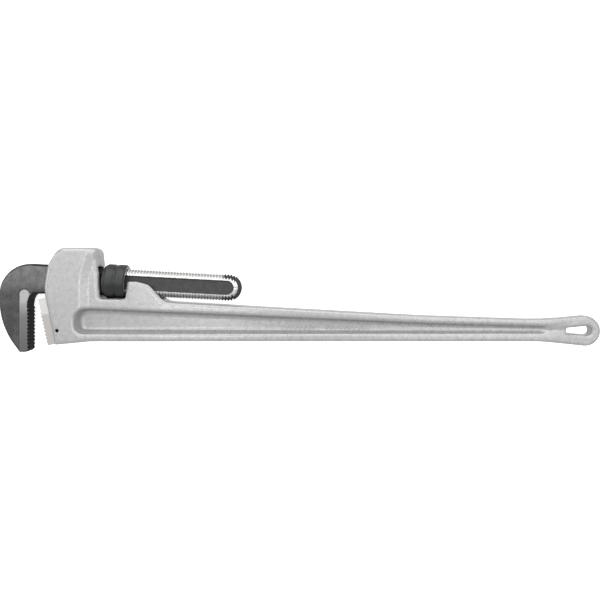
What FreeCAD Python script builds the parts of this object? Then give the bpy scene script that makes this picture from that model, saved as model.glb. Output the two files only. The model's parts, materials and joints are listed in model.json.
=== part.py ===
import FreeCAD, Part
import math
import os

# Straight-pattern aluminium pipe wrench, nominal 48 inch, lying on its side.
#
# Row frame: the origin is the axis of a pipe held in the jaws, at mid-thickness.
# +X runs along the handle, away from the jaws, +Y runs from the heel jaw's side
# of the handle towards the hook jaw's shank, and +Z is the pipe's axis.
# All sizes are in millimetres.
#
# Shank frame: the hook jaw's threaded shank leans to the handle. Its parts, and
# the nut's, are drawn with the nut's centre at the origin, "along" the shank
# towards its tail on +X, "across" it on +Y, and then placed in the row frame.

Vector = FreeCAD.Vector

# ---- hook jaw, nut and thread ----
NUT_CENTRE = Vector(141.0, 72.6, 0)
SHANK_LEAN_DEG = -3.0
JAW_HALF = 16.8                 # half the thickness of both jaws
THREAD_R = 24.0                 # shank's major radius
THREAD_PITCH = 5.4
THREAD_DEPTH = 2.6
CREST_WIDTH = 1.2               # flat on the top of each thread
FLANK = math.tan(math.radians(30))
TAIL_CENTRE = 201.5             # along, centre of the shank's ball end
SHANK_START = -151.0            # along, inside the hook
THREAD_START = -72.0            # along, first groove of the thread
CHANNEL_START = -84.0           # along, start of the forged channel in each side
CHANNEL_END = 211.7
CHANNEL_HALF = 12.5
CHANNEL_DEPTH = 4.5

HOOK_CROWN = Vector(-10.1, 50.2, 0)
HOOK_CROWN_R = 54.6
HOOK_BACK = Vector(70.0, 41.0, 0)
HOOK_BACK_R = 134.7
HOOK_TIP_Y = -51.8
HOOK_TIP_FLAT = 5.0             # from the lowest tooth's tip to the flat end
HOOK_NECK_Y = 51.5              # underside of the neck
HOOK_NECK_END_X = 22.5
HOOK_ROOT = Vector(-4.1, 80.0, 0)    # the outline's turn inside the shank
HOOK_ROOT_TOP_Y = 104.2
HOOK_EDGE_R = 3.0
HOOK_OUTSIDE_X = -40.0          # the rounded outer edges start left of this
THROAT_FOOT = Vector(-12.6, 36.0, 0)
THROAT_MIDDLE = Vector(-9.3, 45.8, 0)
THROAT_TOP = Vector(-2.0, HOOK_NECK_Y, 0)

TOOTH_PITCH = 6.5
TOOTH_DEPTH = 2.8
TOOTH_RAKE = 0.35               # share of the pitch from a tip to its valley
HOOK_TOOTH_X = -11.1
HOOK_LOWEST_TOOTH_Y = -46.0
HOOK_TEETH = 12
MILLED_R = 9.5                  # milled band beside the hook's teeth
MILLED_TOP = Vector(-18.5, 50.4, 0)
MILLED_DEPTH = 1.0

NUT_HALF = 20.0                 # half the nut's length
NUT_R = 31.0
NUT_COLLAR_R = 28.5
NUT_COLLAR_END = -14.5
NUT_RING = (-1.0, 4.0)          # ring groove between the two grip bands
NUT_RING_R = 29.6
NUT_BEVEL = 2.5
THREAD_GAP = 0.35               # clearance all round the thread

# ---- heel jaw ----
HEEL_TOP = Vector(4.2, 41.6, 0)
HEEL_LEAN_DEG = 11.95
HEEL_LENGTH = 83.8
HEEL_THICKNESS = 16.4
HEEL_BEVEL = 1.0
HEEL_SMOOTH = 25.0              # plain length above the heel's teeth
HEEL_LAND = 2.0                 # the plain length lies this far behind the tooth tips
TONGUE_TOP = -46.0
TONGUE_FOOT = -74.0
TONGUE_END = 36.1
TONGUE_HALF = 8.0
HEEL_PIN = Vector(26.6, -61.3, 0)
HEEL_PIN_R = 3.0
HEEL_PIN_BORE_R = 1.8
HEEL_PIN_SLIT = 0.8
HEEL_PIN_SUNK = 1.0             # each end lies this far below the cheek's face
SEAT_GAP = 0.1

# ---- casting: head, pocket and handle ----
HEAD_HALF = 27.0
NECK_HALF = 23.2
END_HALF = 12.5
SLOT_HALF = JAW_HALF + 0.6
ROCK = math.tan(math.radians(1.5))   # how far the jaw rocks in the slot
SLOT_GAP = 0.6
NUT_ROOM_R = NUT_R + 1.2        # groove in the pocket's floor, round the nut
NUT_ROOM = (-21.7, 21.5)        # along, from and to
POCKET_FLOOR_Y = 43.4
RIDGE_FOOT_Y = 68.0             # above it, the cheek's edge leans towards the handle
RIDGE_LEAN = Vector(20.9, 70.4, 0)
WEB_HALF = 5.5
HANG_HOLE_HALF_Z = 40.0

# ---- springs ----
LEAF_HALF = 8.0                 # half the flat spring's width
LEAF_THICKNESS = 1.2
LEAF_SIDE_GAP = 1.0
LEAF_FRONT = Vector(-98.5, -27.2, 0)
LEAF_CREST = Vector(-72.0, -24.6, 0)
LEAF_REAR = Vector(-36.0, -26.0, 0)
SPRING_PIN_AT = Vector(-36.0, -29.8, 0)
SPRING_PIN_R = 2.5
SPRING_PIN_NEAR = 21.0
SPRING_PIN_BACK = -24.0
EYE_GAP = 0.1
LEAF_PIT = (-112.0, -27.0, -35.0)    # along from, along to, floor across
COIL_AT = -86.0
COIL_R = 5.4
COIL_WIRE_R = 1.0
COIL_PITCH = 3.9
COIL_TOP = -27.2
COIL_FOOT = -53.0
COIL_HOLE_R = 7.3

CLEAR = 60.0                    # reach of a cutting solid past what it cuts
ARC_SHORT = 0.1                 # a full-round end's corner arcs stop this short of its middle


def rounded(corners, height=0.0):
    """A closed wire through corners (x, y, radius), each rounded by a tangent arc."""
    points = [Vector(x, y, height) for x, y, _ in corners]
    arcs = []
    for i, (_, _, radius) in enumerate(corners):
        corner = points[i]
        back = (points[i - 1] - corner).normalize()
        ahead = (points[(i + 1) % len(points)] - corner).normalize()
        half = back.getAngle(ahead) / 2
        reach = radius / math.tan(half)
        inward = (back + ahead).normalize() * (radius / math.sin(half) - radius)
        arcs.append((corner + back * reach, corner + inward, corner + ahead * reach))
    edges = []
    for i, (enter, middle, leave) in enumerate(arcs):
        if not enter.isEqual(leave, 1e-6):
            edges.append(Part.Arc(enter, middle, leave).toShape())
        following = arcs[(i + 1) % len(arcs)][0]
        if not leave.isEqual(following, 1e-6):
            edges.append(Part.LineSegment(leave, following).toShape())
    return Part.Wire(edges)


def slab(wire, low, high):
    """The wire's area, pushed out from Z = low to Z = high."""
    solid = Part.Face(wire).extrude(Vector(0, 0, high - low))
    solid.translate(Vector(0, 0, low))
    return solid


def rod(x, y, radius, low, high):
    """A cylinder along Z."""
    return Part.makeCylinder(radius, high - low, Vector(x, y, low))


def on_shank(shape):
    """Moves a shape from the shank frame to the row frame."""
    shape.Placement = FreeCAD.Placement(
        NUT_CENTRE, FreeCAD.Rotation(Vector(0, 0, 1), SHANK_LEAN_DEG)
    ).multiply(shape.Placement)
    return shape


def on_heel(shape):
    """Moves a shape from the heel jaw's own frame, its tooth tips on -Y, to the row frame."""
    shape.Placement = FreeCAD.Placement(
        HEEL_TOP, FreeCAD.Rotation(Vector(0, 0, 1), HEEL_LEAN_DEG)
    ).multiply(shape.Placement)
    return shape


def along_x(shape):
    """Turns a shape built about Z to lie about X, with its X axis on Y."""
    shape.rotate(Vector(0, 0, 0), Vector(1, 1, 1), 120)
    return shape


# ---------------------------------------------------------------- hook jaw


def point_on_circle(centre, radius, degrees):
    angle = math.radians(degrees)
    return centre + Vector(radius * math.cos(angle), radius * math.sin(angle), 0)


def hook_outline():
    """The hook, from its neck over the crown, down the back and up the toothed face."""
    crown_top = HOOK_CROWN + Vector(0, HOOK_CROWN_R, 0)
    crown_mid = point_on_circle(HOOK_CROWN, HOOK_CROWN_R, 135)
    crown_end = HOOK_CROWN - Vector(HOOK_CROWN_R, 0, 0)
    back_start = HOOK_BACK - Vector(HOOK_BACK_R, 0, 0)
    tip_x = HOOK_BACK.x - math.sqrt(HOOK_BACK_R**2 - (HOOK_TIP_Y - HOOK_BACK.y) ** 2)
    back_mid = point_on_circle(HOOK_BACK, HOOK_BACK_R, 200)
    edges = [
        Part.Arc(crown_top, crown_mid, crown_end).toShape(),
        Part.LineSegment(crown_end, back_start).toShape(),
        Part.Arc(back_start, back_mid, Vector(tip_x, HOOK_TIP_Y, 0)).toShape(),
    ]
    valley_x = HOOK_TOOTH_X - TOOTH_DEPTH
    path = [
        Vector(tip_x, HOOK_TIP_Y, 0),
        Vector(HOOK_TOOTH_X - HOOK_TIP_FLAT, HOOK_TIP_Y, 0),
    ]
    for i in range(HOOK_TEETH):
        tip_y = HOOK_LOWEST_TOOTH_Y + i * TOOTH_PITCH
        path.append(Vector(HOOK_TOOTH_X, tip_y, 0))
        path.append(Vector(valley_x, tip_y + TOOTH_RAKE * TOOTH_PITCH, 0))
    path.append(THROAT_FOOT)
    edges += [
        Part.LineSegment(a, b).toShape() for a, b in zip(path, path[1:])
    ]
    edges.append(Part.Arc(THROAT_FOOT, THROAT_MIDDLE, THROAT_TOP).toShape())
    inside = [
        THROAT_TOP,
        Vector(HOOK_NECK_END_X, HOOK_NECK_Y, 0),
        Vector(HOOK_NECK_END_X, HOOK_ROOT.y, 0),
        HOOK_ROOT,
        Vector(HOOK_ROOT.x, HOOK_ROOT_TOP_Y, 0),
        crown_top,
    ]
    edges += [
        Part.LineSegment(a, b).toShape() for a, b in zip(inside, inside[1:])
    ]
    return Part.Wire(edges)


def thread_groove():
    """One groove of the shank's thread, as a ring about X at the origin."""
    foot_r = THREAD_R - THREAD_DEPTH
    foot_half = (THREAD_PITCH - CREST_WIDTH) / 2 - THREAD_DEPTH * FLANK
    over = 1.0
    mouth_half = foot_half + (THREAD_DEPTH + over) * FLANK
    profile = Part.makePolygon([
        Vector(-foot_half, foot_r, 0),
        Vector(foot_half, foot_r, 0),
        Vector(mouth_half, THREAD_R + over, 0),
        Vector(-mouth_half, THREAD_R + over, 0),
        Vector(-foot_half, foot_r, 0),
    ])
    return Part.Face(profile).revolve(Vector(0, 0, 0), Vector(1, 0, 0), 360)


def half_grooves(side):
    """The grooves on the shank's top (side 1) or lower edge (side -1).

    Each ring leans by the lead angle, so near that edge it follows the helix.
    """
    lead = math.degrees(math.atan(THREAD_PITCH / (2 * math.pi * THREAD_R)))
    half_space = Part.makeBox(2 * CLEAR, CLEAR, 2 * CLEAR, Vector(-CLEAR, 0, -CLEAR))
    if side < 0:
        half_space.rotate(Vector(0, 0, 0), Vector(1, 0, 0), 180)
    one = thread_groove().common(half_space)
    one.rotate(Vector(0, 0, 0), Vector(0, 1, 0), side * lead)
    offset = THREAD_PITCH / 2 if side > 0 else 0.0
    first = math.ceil((THREAD_START - offset) / THREAD_PITCH)
    last = math.floor((TAIL_CENTRE + THREAD_R / 2 - offset) / THREAD_PITCH)
    grooves = []
    for turn in range(first, last + 1):
        groove = one.copy()
        groove.translate(Vector(offset + turn * THREAD_PITCH, 0, 0))
        grooves.append(groove)
    return grooves


def shank():
    """The threaded bar with flat sides and a ball end, in the shank frame."""
    length = TAIL_CENTRE - SHANK_START
    bar = Part.makeCylinder(THREAD_R, length, Vector(SHANK_START, 0, 0), Vector(1, 0, 0))
    ball = Part.makeSphere(THREAD_R, Vector(TAIL_CENTRE, 0, 0))
    flats = Part.makeBox(
        length + CLEAR, 2 * CLEAR, 2 * JAW_HALF, Vector(SHANK_START, -CLEAR, -JAW_HALF)
    )
    solid = bar.fuse(ball).removeSplitter().common(flats)
    return solid.cut(half_grooves(1) + half_grooves(-1))


def hook_jaw():
    hook = slab(hook_outline(), -JAW_HALF, JAW_HALF)
    rounded_edges = [
        edge for edge in hook.Edges
        if abs(abs(edge.BoundBox.ZMin) - JAW_HALF) < 0.01
        and edge.BoundBox.ZLength < 0.01
        and edge.BoundBox.XMin < HOOK_OUTSIDE_X
    ]
    hook = hook.makeFillet(HOOK_EDGE_R, rounded_edges)
    jaw = hook.fuse(on_shank(shank()))
    channel_end_r = CHANNEL_HALF - ARC_SHORT
    channel = [
        (CHANNEL_START, -CHANNEL_HALF, channel_end_r),
        (CHANNEL_END, -CHANNEL_HALF, channel_end_r),
        (CHANNEL_END, CHANNEL_HALF, channel_end_r),
        (CHANNEL_START, CHANNEL_HALF, channel_end_r),
    ]
    milled_end_r = MILLED_R - ARC_SHORT
    milled = [
        (MILLED_TOP.x - MILLED_R, MILLED_TOP.y + MILLED_R, milled_end_r),
        (MILLED_TOP.x - MILLED_R, HOOK_TIP_Y - CLEAR, 0),
        (MILLED_TOP.x + MILLED_R, HOOK_TIP_Y - CLEAR, 0),
        (MILLED_TOP.x + MILLED_R, MILLED_TOP.y + MILLED_R, milled_end_r),
    ]
    cuts = []
    for low, high in ((JAW_HALF, CLEAR), (-CLEAR, -JAW_HALF)):
        inward = -1 if low > 0 else 1
        sunk = inward * CHANNEL_DEPTH
        cuts.append(on_shank(slab(rounded(channel), low + min(sunk, 0), high + max(sunk, 0))))
        sunk = inward * MILLED_DEPTH
        cuts.append(slab(rounded(milled), low + min(sunk, 0), high + max(sunk, 0)))
    return jaw.cut(cuts)


# ---------------------------------------------------------------- adjusting nut


def nut_body():
    """The nut turned about X: a collar, then two grip bands with a ring groove between."""
    ring_low, ring_high = NUT_RING
    bore_r = THREAD_R - THREAD_DEPTH + THREAD_GAP
    step = NUT_R - NUT_RING_R
    profile = [
        (-NUT_HALF + THREAD_DEPTH, bore_r),
        (-NUT_HALF, bore_r + THREAD_DEPTH),
        (-NUT_HALF, NUT_COLLAR_R - NUT_BEVEL),
        (-NUT_HALF + NUT_BEVEL, NUT_COLLAR_R),
        (NUT_COLLAR_END - NUT_BEVEL, NUT_COLLAR_R),
        (NUT_COLLAR_END, NUT_R),
        (ring_low, NUT_R),
        (ring_low + step, NUT_RING_R),
        (ring_high - step, NUT_RING_R),
        (ring_high, NUT_R),
        (NUT_HALF - NUT_BEVEL, NUT_R),
        (NUT_HALF, NUT_R - NUT_BEVEL),
        (NUT_HALF, bore_r + THREAD_DEPTH),
        (NUT_HALF - THREAD_DEPTH, bore_r),
        (-NUT_HALF + THREAD_DEPTH, bore_r),
    ]
    wire = Part.makePolygon([Vector(x, r, 0) for x, r in profile])
    return Part.Face(wire).revolve(Vector(0, 0, 0), Vector(1, 0, 0), 360)


def nut_thread_space():
    """The helical room that the nut leaves for the shank's thread, turn by turn."""
    foot_r = THREAD_R + THREAD_GAP
    mouth_r = THREAD_R - THREAD_DEPTH
    foot_half = CREST_WIDTH / 2 + THREAD_GAP - THREAD_GAP * FLANK
    mouth_half = foot_half + (foot_r - mouth_r) * FLANK
    profile = Part.makePolygon([
        Vector(mouth_r, 0, -mouth_half),
        Vector(foot_r, 0, -foot_half),
        Vector(foot_r, 0, foot_half),
        Vector(mouth_r, 0, mouth_half),
        Vector(mouth_r, 0, -mouth_half),
    ])
    helix = Part.Wire(Part.makeHelix(THREAD_PITCH, THREAD_PITCH, mouth_r))
    one_turn = along_x(helix.makePipeShell([profile], True, True))
    outside = math.ceil(NUT_HALF / THREAD_PITCH) + 1
    turns = []
    for turn in range(-outside, outside):
        space = one_turn.copy()
        space.translate(Vector(turn * THREAD_PITCH, 0, 0))
        turns.append(space)
    return turns


def adjusting_nut():
    """The threaded nut, without the loose crumb of thread that a cut leaves at its mouth."""
    threaded = nut_body().cut(nut_thread_space())
    return on_shank(max(threaded.Solids, key=lambda solid: solid.Volume))


# ---------------------------------------------------------------- heel jaw


def heel_jaw():
    """The replaceable jaw: a toothed block with a tongue that a pin holds in the casting."""
    valley_x = TOOTH_DEPTH
    first_rise = TOOTH_RAKE * TOOTH_PITCH * HEEL_LAND / TOOTH_DEPTH
    path = [
        Vector(HEEL_THICKNESS, 0, 0),
        Vector(HEEL_LAND + HEEL_BEVEL, 0, 0),
        Vector(HEEL_LAND, -HEEL_BEVEL, 0),
        Vector(HEEL_LAND, first_rise - HEEL_SMOOTH, 0),
        Vector(0, -HEEL_SMOOTH, 0),
    ]
    tip_y = -HEEL_SMOOTH
    while tip_y - TOOTH_PITCH > -HEEL_LENGTH:
        path.append(Vector(valley_x, tip_y - (1 - TOOTH_RAKE) * TOOTH_PITCH, 0))
        tip_y -= TOOTH_PITCH
        path.append(Vector(0, tip_y, 0))
    path.append(Vector(HEEL_BEVEL / 2, -HEEL_LENGTH, 0))
    path.append(Vector(HEEL_THICKNESS, -HEEL_LENGTH, 0))
    block = slab(Part.makePolygon(path + path[:1]), -JAW_HALF, JAW_HALF)
    tongue = Part.makeBox(
        TONGUE_END - HEEL_THICKNESS, TONGUE_TOP - TONGUE_FOOT, 2 * TONGUE_HALF,
        Vector(HEEL_THICKNESS, TONGUE_FOOT, -TONGUE_HALF),
    )
    hole = rod(HEEL_PIN.x, HEEL_PIN.y, HEEL_PIN_R + SEAT_GAP, -CLEAR, CLEAR)
    return on_heel(block.fuse(tongue).removeSplitter().cut(hole))


def heel_jaw_pin():
    """A rolled spring pin: a tube with a slit down one side."""
    half = HEAD_HALF - HEEL_PIN_SUNK
    pin = rod(HEEL_PIN.x, HEEL_PIN.y, HEEL_PIN_R, -half, half)
    bore = rod(HEEL_PIN.x, HEEL_PIN.y, HEEL_PIN_BORE_R, -half, half)
    slit = Part.makeBox(
        2 * HEEL_PIN_R, HEEL_PIN_SLIT, 2 * half, HEEL_PIN + Vector(0, -HEEL_PIN_SLIT / 2, -half)
    )
    return on_heel(pin.cut([bore, slit]))


# ---------------------------------------------------------------- casting


def casting_outline():
    """Head, nut pocket, saddle and handle with its eye end, seen along Z."""
    return rounded([
        (37.9, -38.2, 3.0),
        (98.0, -32.4, 250.0),
        (900.0, -33.4, 250.0),
        (1006.5, -44.6, 26.6),
        (1006.5, 14.8, 26.6),
        (905.0, 5.0, 500.0),
        (690.0, 12.0, 1500.0),
        (258.0, 35.6, 120.0),
        (231.0, 37.6, 24.0),
        (203.0, 68.4, 18.0),
        (181.0, 74.2, 25.0),
        (163.8, 74.2, 6.0),
        (160.9, POCKET_FLOOR_Y, 4.5),
        (117.5, POCKET_FLOOR_Y, 4.5),
        (116.2, 103.0, 40.0),
        (113.2, 133.5, 12.0),
        (43.5, 134.0, 22.0),
        (24.6, 103.6, 40.0),
        (18.2, 64.0, 40.0),
        (20.4, 44.6, 30.0),
    ])


def casting_plan():
    """Half the casting's thickness along its length, mirrored: X is along, Y is the half."""
    near = [
        (12.0, 22.0, 0.0),
        (24.0, HEAD_HALF, 14.0),
        (82.5, HEAD_HALF, 20.0),
        (98.0, NECK_HALF, 20.0),
        (222.0, NECK_HALF - 0.6, 150.0),
        (262.0, 20.6, 150.0),
        (915.0, 14.2, 200.0),
        (955.0, END_HALF, 100.0),
        (1030.0, END_HALF, 0.0),
    ]
    far = [(x, -z, radius) for x, z, radius in reversed(near)]
    plan = rounded(near + far)
    plan.rotate(Vector(0, 0, 0), Vector(1, 0, 0), 90)
    return plan


def casting_blank():
    """The solid outside shape of the casting."""
    side = slab(casting_outline(), -CLEAR, CLEAR)
    plan = Part.Face(casting_plan())
    plan.translate(Vector(0, RIDGE_FOOT_Y, 0))
    straight = plan.extrude(Vector(0, -3 * CLEAR, 0))
    leaning = plan.extrude(RIDGE_LEAN)
    return side.common(straight.fuse(leaning))


def shank_slot():
    """The room for the shank: a window through the head and a groove in the saddle."""
    def half_height(along):
        return THREAD_R + SLOT_GAP + ROCK * abs(along)

    mouth, rear = -150.0, 130.0
    neck_low = -32.0
    neck_from = -98.0
    corners = [
        (mouth, half_height(mouth), 0),
        (0, half_height(0), 0),
        (rear, CLEAR, 0),
        (rear, -half_height(rear), 0),
        (0, -half_height(0), 0),
        (neck_from, -half_height(neck_from), 0),
        (neck_from - 4, neck_low, 0),
        (mouth, neck_low - 1, 0),
    ]
    return on_shank(slab(rounded(corners), -SLOT_HALF, SLOT_HALF))


def nut_room():
    """The hollow in the pocket's floor that lets the nut turn."""
    start, end = NUT_ROOM
    return on_shank(Part.makeCylinder(
        NUT_ROOM_R, end - start, Vector(start, 0, 0), Vector(1, 0, 0)
    ))


def spring_room():
    """The pit under the flat spring, the coil spring's blind hole and the pin's hole."""
    pit_from, pit_to, pit_floor = LEAF_PIT
    pit_half = LEAF_HALF + LEAF_SIDE_GAP
    pit = Part.makeBox(
        pit_to - pit_from, -pit_floor - CHANNEL_HALF, 2 * pit_half,
        Vector(pit_from, pit_floor, -pit_half),
    )
    hole = Part.makeCylinder(
        COIL_HOLE_R, -COIL_FOOT - CHANNEL_HALF, Vector(COIL_AT, COIL_FOOT - SEAT_GAP, 0),
        Vector(0, 1, 0),
    )
    pin = rod(SPRING_PIN_AT.x, SPRING_PIN_AT.y, SPRING_PIN_R, -CLEAR, SPRING_PIN_NEAR)
    return [on_shank(pit), on_shank(hole), on_shank(pin)]


def web_recess(side):
    """The long pocket in one side of the handle that leaves an I-section."""
    lip_z, floor_z = 30.0, WEB_HALF
    lip = [
        (71.5, -20.0, 17.0),
        (950.0, -21.0, 5.0),
        (950.0, -6.4, 5.0),
        (700.0, 0.2, 800.0),
        (106.0, 26.0, 300.0),
        (71.5, 26.0, 20.0),
    ]
    floor = [
        (79.5, -13.2, 10.0),
        (905.0, -15.0, 2.5),
        (905.0, -8.6, 2.5),
        (700.0, -3.6, 800.0),
        (106.0, 21.6, 300.0),
        (79.5, 21.6, 15.0),
    ]
    return Part.makeLoft([rounded(lip, side * lip_z), rounded(floor, side * floor_z)], True, True)


def hang_hole():
    """The tapered eye through the end of the handle."""
    eye = rounded([
        (945.5, -19.4, 5.0),
        (991.0, -23.4, 8.0),
        (991.0, -5.4, 8.0),
        (945.5, -9.6, 4.5),
    ])
    return slab(eye, -HANG_HOLE_HALF_Z, HANG_HOLE_HALF_Z)


def heel_seat():
    """The room for the heel jaw, its tongue and its pin."""
    block = Part.makeBox(
        CLEAR, 2 * HEEL_LENGTH, 2 * CLEAR,
        Vector(HEEL_THICKNESS + SEAT_GAP - CLEAR, -1.5 * HEEL_LENGTH, -CLEAR),
    )
    low_block = block.common(Part.makeBox(
        2 * CLEAR, 2 * HEEL_LENGTH, 2 * CLEAR,
        Vector(-CLEAR, -2 * HEEL_LENGTH + 1.0, -CLEAR),
    ))
    tongue = Part.makeBox(
        TONGUE_END + SEAT_GAP, TONGUE_TOP - TONGUE_FOOT + 2 * SEAT_GAP,
        2 * (TONGUE_HALF + SEAT_GAP),
        Vector(0, TONGUE_FOOT - SEAT_GAP, -TONGUE_HALF - SEAT_GAP),
    )
    hole = rod(HEEL_PIN.x, HEEL_PIN.y, HEEL_PIN_R, -CLEAR, CLEAR)
    return [on_heel(low_block), on_heel(tongue), on_heel(hole)]


def handle():
    cuts = [shank_slot(), nut_room(), hang_hole(), web_recess(1), web_recess(-1)]
    return casting_blank().cut(cuts + heel_seat() + spring_room())


# ---------------------------------------------------------------- springs


def flat_spring():
    """A leaf under the shank: its eye is round the spring pin and its crest bears up."""
    drop = Vector(0, -LEAF_THICKNESS, 0)
    front, crest, rear = LEAF_FRONT, LEAF_CREST, LEAF_REAR
    wire = Part.Wire([
        Part.Arc(front, crest, rear).toShape(),
        Part.LineSegment(rear, rear + drop).toShape(),
        Part.Arc(rear + drop, crest + drop, front + drop).toShape(),
        Part.LineSegment(front + drop, front).toShape(),
    ])
    leaf = slab(wire, -LEAF_HALF, LEAF_HALF)
    eye_r = SPRING_PIN_R + EYE_GAP + LEAF_THICKNESS
    eye = rod(SPRING_PIN_AT.x, SPRING_PIN_AT.y, eye_r, -LEAF_HALF, LEAF_HALF)
    hole = rod(SPRING_PIN_AT.x, SPRING_PIN_AT.y, SPRING_PIN_R + EYE_GAP, -CLEAR, CLEAR)
    return on_shank(leaf.fuse(eye).removeSplitter().cut(hole))


def coil_spring():
    """A compression spring that stands in its blind hole under the flat spring."""
    height = COIL_TOP - COIL_FOOT - 2 * COIL_WIRE_R
    helix = Part.makeHelix(COIL_PITCH, height, COIL_R)
    section = Part.Wire(Part.makeCircle(COIL_WIRE_R, Vector(COIL_R, 0, 0), Vector(0, 1, 0)))
    spring = Part.Wire(helix).makePipeShell([section], True, True)
    spring.rotate(Vector(0, 0, 0), Vector(1, 0, 0), -90)
    spring.translate(Vector(COIL_AT, COIL_FOOT + COIL_WIRE_R, 0))
    return on_shank(spring)


def spring_pin():
    return on_shank(
        rod(SPRING_PIN_AT.x, SPRING_PIN_AT.y, SPRING_PIN_R, SPRING_PIN_BACK, SPRING_PIN_NEAR)
    )


def main():
    os.makedirs("parts", exist_ok=True)
    pieces = {
        "handle": handle(),
        "heel_jaw": heel_jaw(),
        "heel_jaw_pin": heel_jaw_pin(),
        "hook_jaw": hook_jaw(),
        "adjusting_nut": adjusting_nut(),
        "flat_spring": flat_spring(),
        "coil_spring": coil_spring(),
        "spring_pin": spring_pin(),
    }
    for name, shape in pieces.items():
        shape.exportStep("parts/" + name + ".step")
        print(name, len(shape.Solids), shape.isValid(), round(shape.Volume))


main()
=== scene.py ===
import bpy
import json
import math
import numpy as np
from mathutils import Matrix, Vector


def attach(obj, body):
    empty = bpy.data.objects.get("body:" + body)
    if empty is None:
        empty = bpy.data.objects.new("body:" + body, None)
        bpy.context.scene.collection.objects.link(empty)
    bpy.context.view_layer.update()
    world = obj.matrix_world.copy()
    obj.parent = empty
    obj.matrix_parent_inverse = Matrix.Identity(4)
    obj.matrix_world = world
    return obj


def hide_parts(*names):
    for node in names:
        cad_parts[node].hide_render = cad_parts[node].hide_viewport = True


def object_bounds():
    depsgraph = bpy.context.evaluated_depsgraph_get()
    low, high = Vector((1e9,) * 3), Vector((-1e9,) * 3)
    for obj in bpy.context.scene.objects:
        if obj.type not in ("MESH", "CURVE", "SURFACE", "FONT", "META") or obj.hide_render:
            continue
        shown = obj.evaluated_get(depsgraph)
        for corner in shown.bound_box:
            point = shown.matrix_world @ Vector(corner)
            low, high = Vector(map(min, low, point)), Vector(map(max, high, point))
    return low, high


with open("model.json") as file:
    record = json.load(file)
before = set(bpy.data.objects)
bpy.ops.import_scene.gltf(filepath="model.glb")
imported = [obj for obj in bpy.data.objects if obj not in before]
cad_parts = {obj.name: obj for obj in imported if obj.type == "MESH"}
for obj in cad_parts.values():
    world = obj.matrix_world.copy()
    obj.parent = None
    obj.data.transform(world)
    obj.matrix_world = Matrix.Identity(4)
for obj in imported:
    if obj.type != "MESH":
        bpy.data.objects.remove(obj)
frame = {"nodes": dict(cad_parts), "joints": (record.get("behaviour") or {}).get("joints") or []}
cad_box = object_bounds()

# Lengths are in millimetres in the row's frame, until MM turns them into metres. The stage and
# the lights are placed in metres.
MM = 0.001
NODES = frame["nodes"]
JOINTS = {joint["name"]: joint for joint in frame["joints"]}

NUT_CENTRE = [v / MM for v in JOINTS["nut_spin"]["pos_m"]]
SHANK_AXIS = JOINTS["nut_spin"]["axis"]
SHANK_LEAN = math.atan2(SHANK_AXIS[1], SHANK_AXIS[0])

# ---------------------------------------------------------------- sizes, as in the design

JAW_HALF = 16.8
THREAD_R = 24.0
THREAD_PITCH = 5.4
THREAD_DEPTH = 2.6
CREST_WIDTH = 1.2
THREAD_GAP = 0.35
FLANK = math.tan(math.radians(30))
THREAD_EASE = 0.6         # flattens the bar's field, so that the steep flanks mesh cleanly
THREAD_START = -72.0
TAIL_CENTRE = 201.5
CHANNEL = (-84.0, 211.7)
CHANNEL_HALF = 12.5
CHANNEL_DEPTH = 4.5
CHANNEL_FILLET = 2.0
SHANK_EDGE_R = 0.5
SEAM = (209.7, 219.5)     # along, the fine groove that runs from the channel's end to the tail
SEAM_ACROSS = 1.0
SEAM_HALF = 0.7
SEAM_DEPTH = 1.0
HOOK_CROWN = (-10.1, 50.2)
HOOK_CROWN_R = 54.6
HOOK_BACK = (70.0, 41.0)
HOOK_BACK_R = 134.7
HOOK_TIP_Y = -51.8
TOOTH_PITCH = 6.5
TOOTH_DEPTH = 2.8
TOOTH_RAKE = 0.35
HOOK_TOOTH_X = -11.1
HOOK_TIP_FLAT = 5.0
THROAT = ((-12.6, 36.0), (-9.3, 45.8), (-2.0, 51.5))
HOOK_NECK_Y = 51.5
HOOK_LOWEST_TOOTH_Y = -46.0
HOOK_TEETH = 12
HOOK_EDGE_R = 5.5
TOOTH_EDGE_R = 0.6
MILLED_R = 9.5
MILLED_TOP = (-18.5, 50.4)
MILLED_DEPTH = 1.0
MILLED_EDGE_R = 0.4
ARC_SHORT = 0.1           # a full-round end's corner arcs stop this short of its middle
PAST_EDGE = 20.0          # reach of a cut past the outline that it opens
SHANK_START = -151.0
NECK_END_X = 22.5
NECK_FULL = -112.0        # along, up to here the neck's section is a full rectangle
NECK_FADE = -92.0         # along, from here on the shank's edges are round
NECK_FADE_HALF = 16.5
GROUND_CROWN = 0.03       # how much the shank's ground sides fall away from their middle
HEAD_HALF = 27.0
NECK_HALF = 23.2
SLOT_HALF = 17.4
SLOT_GAP = 0.6
ROCK = math.tan(math.radians(1.5))   # how far the jaw rocks in the slot
WEB_HALF = 5.5
WEB_FILLET = 5.0
POCKET_FLOOR_Y = 43.4
NUT_ROOM_R = 32.2
NUT_ROOM = (-21.7, 21.5)
BAR_ROWS = ((435.0, 498.0, 8), (514.0, 597.0, 10))   # each row's start, end and count
BAR_Y = (-17.5, -4.5)
BAR_WIDTH = 5.0
BAR_HEIGHT = 1.4
BAR_CORNER_R = 1.6
BAR_EDGE_R = 0.7
BAR_ROOT = 0.4            # how deep a bar reaches into the web
HEEL_TOP = (4.2, 41.6)
HEEL_LEAN = math.radians(11.95)
HEEL_THICKNESS = 16.4
SEAT_GAP = 0.1
SEAT_ABOVE = 1.0          # the seat's shoulder stands this far above the heel jaw
HEEL_PIN = (26.6, -61.3)
HEEL_PIN_R = 3.0
SPRING_PIN_AT = (-36.0, -29.8)
SPRING_PIN_R = 2.5
SPRING_PIN_NEAR = 21.0
NUT_HALF = 20.0
NUT_R = 30.99
NUT_COLLAR_R = 28.5
NUT_COLLAR_END = -14.5
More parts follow.
